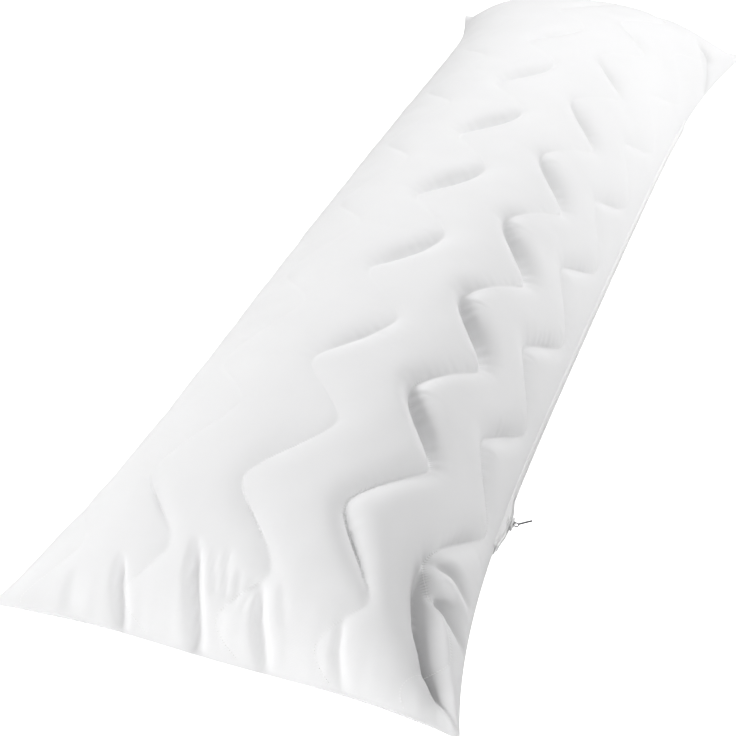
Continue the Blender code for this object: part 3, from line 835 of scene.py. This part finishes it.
TAPE_CLEARANCE, TAPE_THICKNESS = 0.0003, 0.0009
TAPE_ACROSS = (0.0, 0.12, 0.3, 0.5, 0.7, 0.86, 0.95, 1.0)
TAPE_SECTION = (0.7, 0.8, 0.8, 0.8, 0.8, 0.8, 1.1, 0.8)         # thickness there, with the selvedge's bead
TAPE_CURL = 0.0042
COIL_WIDTH, COIL_GAP = 0.0030, 0.0004
COIL_MARGIN, COIL_START, TURN_WIDTH = 0.006, 0.004, 0.48
LIFT_REACH = 0.030
SLIDER_LENGTH, WEDGE_LENGTH, WEDGE_WIDTH = 0.0190, 0.0060, 0.0040


def tape_lift(y):
    """How far the tapes stand out of the seam: a flat-topped bump at the slider."""
    zipper = setting("zip")
    return TAPE_CLEARANCE + zipper.lift * np.exp(-((y - zipper.slider_y) / LIFT_REACH) ** 4)


def tape_parting(y):
    """Half the gap between the coils: closed behind the slider, open by half its wedge in front."""
    wedge_y = setting("zip").slider_y - SLIDER_LENGTH / 2 + WEDGE_LENGTH + 0.004
    apart = 0.5 - 0.5 * np.tanh((y - wedge_y) / 0.0015)
    return COIL_GAP / 2 + apart * (WEDGE_WIDTH / 2 + COIL_GAP / 2)


def tape_strip(y, across):
    """A point of each tape at the share across it, 0 at the coil and 1 at its sewn edge: it stands out of the seam
    by its clearance plus the slider's lift, which falls as (1 - across)^1.5 to the sewn edge; the upper tape lies up
    the side of the cushion and the lower one curls under it."""
    origin, _, outward = seam_run(y)
    reach = (COIL_WIDTH + setting("zip").tape_width) * across
    lift = (tape_lift(y)[:, None] - TAPE_CLEARANCE) * (1 - across[None]) ** 1.5 + TAPE_CLEARANCE
    curl = TAPE_CURL * across ** 2
    strips = []
    for way, curled, reached in ((1, 0.25, 1.0), (-1, 1.0, 0.8)):
        out = lift - curl * curled
        up = way * (tape_parting(y)[:, None] * (1 - across[None]) + reach[None] * reached)
        raised = origin[:, None] + out[..., None] * outward[:, None]
        strips.append(raised + up[..., None] * np.array([0.0, 0.0, 1.0]))
    return strips, outward


def make_tapes():
    """Both tapes: a thin section with a bead near its outer edge, carried along the seam."""
    zipper = setting("zip")
    y = np.unique(np.concatenate([np.linspace(-zipper.half_length, zipper.half_length, 221),
                                  np.linspace(zipper.slider_y - 0.04, zipper.slider_y + 0.04, 61)]))
    thick = TAPE_THICKNESS * np.array(TAPE_SECTION)
    strips, outward = tape_strip(y, np.array(TAPE_ACROSS))
    points = []
    for way, strip in zip((1, -1), strips):
        outer = strip + thick[None, :, None] * outward[:, None]
        points.append(np.concatenate([strip, outer[:, ::-1]], axis=1)[:, ::way])
    faces = tube_faces(2, len(y), 2 * len(thick))
    piece = new_piece("zip_tapes", np.array(points), faces, zip_tape_cloth())
    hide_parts("zip_tape_upper", "zip_tape_lower")


def make_coils():
    """The nylon coil of each tape: separate turns, each a loop of five rings from the tape round the coil's nose and
    back, half a pitch apart on the two sides."""
    zipper = setting("zip")
    count = int((zipper.half_length - COIL_MARGIN) * 2 / zipper.coil_pitch)
    start = -zipper.half_length + COIL_START
    angle = np.linspace(-0.5 * math.pi, 0.5 * math.pi, 5)
    points = []
    for way in (1, -1):
        y = start + zipper.coil_pitch * (np.arange(count) + (0.5 if way < 0 else 0.0))
        origin, along, outward = seam_run(y)
        base = origin + outward * (tape_lift(y) + TAPE_THICKNESS * 0.75)[:, None]
        up = np.array([0.0, 0.0, float(way)])
        out = 0.0002 + 0.0013 * (0.5 + 0.5 * np.sin(angle))
        nose = 0.0021 - 0.0019 * np.cos(angle)
        centres = base[:, None] + outward[:, None] * out[:, None]
        centres = centres + up * (tape_parting(y)[:, None] + nose)[..., None]
        centres = centres + along[:, None] * (zipper.coil_pitch * 0.10 * np.sin(angle))[:, None]
        side = np.broadcast_to(along[:, None], centres.shape)
        other = np.cross(unit(np.gradient(centres, axis=1)), side)
        width = np.full(centres.shape[:2], zipper.coil_pitch * TURN_WIDTH)
        points.append(tube_rings(centres, side, other, width, width * 0.6, 5))
    faces = tube_faces(2 * count, 5, 5)
    new_piece("zip_coils", np.array(points), faces, coil_plastic())


SLIDER_BEVEL, PULL_BEVEL = 0.00028, 0.00022


def rounded_copy(node, name, width):
    """The CAD solid with its doubles merged and its edges rounded by a bevel."""
    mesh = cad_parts[node].data.copy()
    piece = new_object(name, mesh)
    mesh.materials.clear()
    mesh.materials.append(bright_nickel())
    bpy.context.view_layer.objects.active = piece
    steps = (("WELD", {"merge_threshold": 0.00001}),
             ("DECIMATE", {"decimate_type": "DISSOLVE", "angle_limit": math.radians(1.0)}),
             ("BEVEL", {"width": width, "segments": 3, "limit_method": "ANGLE", "angle_limit": math.radians(35),
                        "use_clamp_overlap": True}))
    for kind, values in steps:
        modifier = piece.modifiers.new(kind, kind)
        for key, value in values.items():
            setattr(modifier, key, value)
        bpy.ops.object.modifier_apply(modifier=modifier.name)
    piece.data.polygons.foreach_set("use_smooth", np.full(len(piece.data.polygons), True))
    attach(piece, BODY)
    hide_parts(node)


# ---- stage

# Azimuth and elevation are in degrees here; the last value is the place along the pillow that the lamp aims at.
LAMPS = (
    # name, azimuth, elevation, distance, size, power, aim
    ("right_near", 110, 45, 2.00, 1.0, 13.4, 0.4),
    ("right_high", 90, 60, 4.00, 1.8, 33.8, 0.0),
    ("end_left", 300, 30, 1.80, 0.6, 12.2, -0.75),
    ("end_low", 0, 6.4, 1.61, 0.35, 3.9, -0.75),
    ("far_right", 135, 60, 4.00, 1.8, 22.2, 0.0),
    ("far_left_near", 210, 45, 2.20, 1.0, 8.7, 0.3),
    ("left_side", 270, 35, 4.00, 1.8, 25.9, 0.0),
    ("end_right", 15, 20, 1.60, 0.5, 1.1, -0.75),
    ("far_low", 180, 40, 2.00, 0.8, 3.7, 0.3),
    ("far_left", 225, 62, 3.62, 1.0, 6.0, 0.0),
    ("side_low", 118.6, 8.2, 1.27, 0.35, 1.6, 0.6),
    ("far_right_near", 135, 50, 2.20, 1.0, 0.8, 0.4),
    ("end_front", 342.6, 15, 1.74, 0.6, 0.2, -0.75),
)
TARGET = (-0.0514, -0.232, 0.0)
CAMERA_AZIMUTH, CAMERA_ELEVATION, CAMERA_DISTANCE = 0.3574, 0.6227, 1.913
FOCAL_PIXELS, FRAME_PIXELS, SENSOR_MM = 1512.0, 736.0, 36.0


def direction(azimuth, elevation):
    """Towards a place round the object: azimuth 0 is on the -Y side and 90 on the +X side, in radians."""
    return Vector((math.sin(azimuth) * math.cos(elevation), -math.cos(azimuth) * math.cos(elevation),
                   math.sin(elevation)))


def make_camera():
    camera = new_object("camera", bpy.data.cameras.new("camera"))
    back = direction(CAMERA_AZIMUTH, CAMERA_ELEVATION)
    camera.location = Vector(TARGET) + back * CAMERA_DISTANCE
    camera.rotation_euler = (-back).to_track_quat("-Z", "Y").to_euler()
    camera.data.sensor_width = SENSOR_MM
    camera.data.lens = FOCAL_PIXELS * SENSOR_MM / FRAME_PIXELS
    camera.data.clip_start, camera.data.clip_end = 0.01, 100.0
    bpy.context.scene.camera = camera


def make_floor():
    """A pale floor that looks lit from behind, as a sweep does, but gives the pillow no light of its own."""
    studio = setting("studio")
    half = studio.floor_size / 2
    mesh = bpy.data.meshes.new("pale_floor")
    mesh.from_pydata([(-half, -half, 0), (half, -half, 0), (half, half, 0), (-half, half, 0)], [], [(0, 1, 2, 3)])
    nodes = Nodes("pale_floor")
    nodes.set(Base_Color=(0.9, 0.9, 0.9, 1), Roughness=0.9, Emission_Color=(1, 1, 1, 1))
    seen = nodes.add("ShaderNodeLightPath").outputs["Is Camera Ray"]
    nodes.link(nodes.math("MULTIPLY", seen, studio.floor_glow), nodes.shader.inputs["Emission Strength"])
    mesh.materials.append(nodes.material)
    floor = new_object("pale_floor", mesh)


def make_lamp(name, azimuth, elevation, distance, size, power, aim_y):
    """A round soft lamp that the camera doesn't see."""
    data = bpy.data.lights.new(name, "AREA")
    data.shape = "DISK"
    data.size = size
    data.energy = power * setting("studio").lamps
    lamp = new_object(name, data)
    towards = direction(math.radians(azimuth), math.radians(elevation))
    lamp.location = towards * distance
    lamp.rotation_euler = (Vector((0, aim_y, 0.1)) - lamp.location).to_track_quat("-Z", "Y").to_euler()
    lamp.visible_camera = False


def make_sky():
    """A white ground behind the floor for the camera, and no more light from it than the sky setting gives."""
    world = bpy.data.worlds.new("studio")
    world.use_nodes = True
    background = world.node_tree.nodes["Background"]
    background.inputs["Color"].default_value = (1, 1, 1, 1)
    seen = world.node_tree.nodes.new("ShaderNodeLightPath")
    strength = world.node_tree.nodes.new("ShaderNodeMath")
    strength.operation = "MAXIMUM"
    world.node_tree.links.new(seen.outputs["Is Camera Ray"], strength.inputs[0])
    strength.inputs[1].default_value = setting("studio").sky
    world.node_tree.links.new(strength.outputs[0], background.inputs["Strength"])
    bpy.context.scene.world = world
    bpy.context.scene.view_settings.view_transform = "Standard"


# ---- operators and panel

class PILLOW_OT_cushion(bpy.types.Operator):
    """Make the quilted, filled cushion."""
    bl_idname = "pillow.cushion"
    bl_label = "Cushion"

    def execute(self, context):
        make_cushion()
        return {"FINISHED"}


class PILLOW_OT_stitching(bpy.types.Operator):
    """Sew the quilting stitches."""
    bl_idname = "pillow.stitching"
    bl_label = "Stitching"

    def execute(self, context):
        make_stitching()
        return {"FINISHED"}


class PILLOW_OT_zip(bpy.types.Operator):
    """Make the zip's tapes and coils."""
    bl_idname = "pillow.zip"
    bl_label = "Zip"

    def execute(self, context):
        make_tapes()
        make_coils()
        return {"FINISHED"}


class PILLOW_OT_slider(bpy.types.Operator):
    """Make the zip's slider and its pull."""
    bl_idname = "pillow.slider"
    bl_label = "Slider and pull"

    def execute(self, context):
        rounded_copy("zip_slider", "nickel_slider", SLIDER_BEVEL)
        rounded_copy("zip_pull", "nickel_pull", PULL_BEVEL)
        return {"FINISHED"}


class PILLOW_OT_stage(bpy.types.Operator):
    """Set the floor, the light and the camera."""
    bl_idname = "pillow.stage"
    bl_label = "Stage"

    def execute(self, context):
        make_camera()
        make_floor()
        make_sky()
        for lamp in LAMPS:
            make_lamp(*lamp)
        return {"FINISHED"}


OPERATORS = (PILLOW_OT_stage, PILLOW_OT_cushion, PILLOW_OT_stitching, PILLOW_OT_zip, PILLOW_OT_slider)


class PILLOW_PT_panel(bpy.types.Panel):
    """Sizes, colours and steps of the pillow."""
    bl_idname = "PILLOW_PT_panel"
    bl_label = "Body pillow"
    bl_space_type = "VIEW_3D"
    bl_region_type = "UI"
    bl_category = "Pillow"

    def draw(self, context):
        for operator in OPERATORS:
            self.layout.operator(operator.bl_idname)
        for name, group in SETTINGS.items():
            box = self.layout.box()
            box.label(text=group.__name__)
            for key in group.__annotations__:
                box.prop(getattr(context.scene, name), key)


def register():
    for group in SETTINGS.values():
        bpy.utils.register_class(group)
    for name, group in SETTINGS.items():
        setattr(bpy.types.Scene, name, PointerProperty(type=group))
    for item in (*OPERATORS, PILLOW_PT_panel):
        bpy.utils.register_class(item)


def unregister():
    for item in (PILLOW_PT_panel, *reversed(OPERATORS)):
        bpy.utils.unregister_class(item)
    for name, group in reversed(SETTINGS.items()):
        delattr(bpy.types.Scene, name)
        bpy.utils.unregister_class(group)


def main():
    register()
    for operator in OPERATORS:
        group, name = operator.bl_idname.split(".")
        getattr(getattr(bpy.ops, group), name)()


if __name__ == "__main__":
    main()
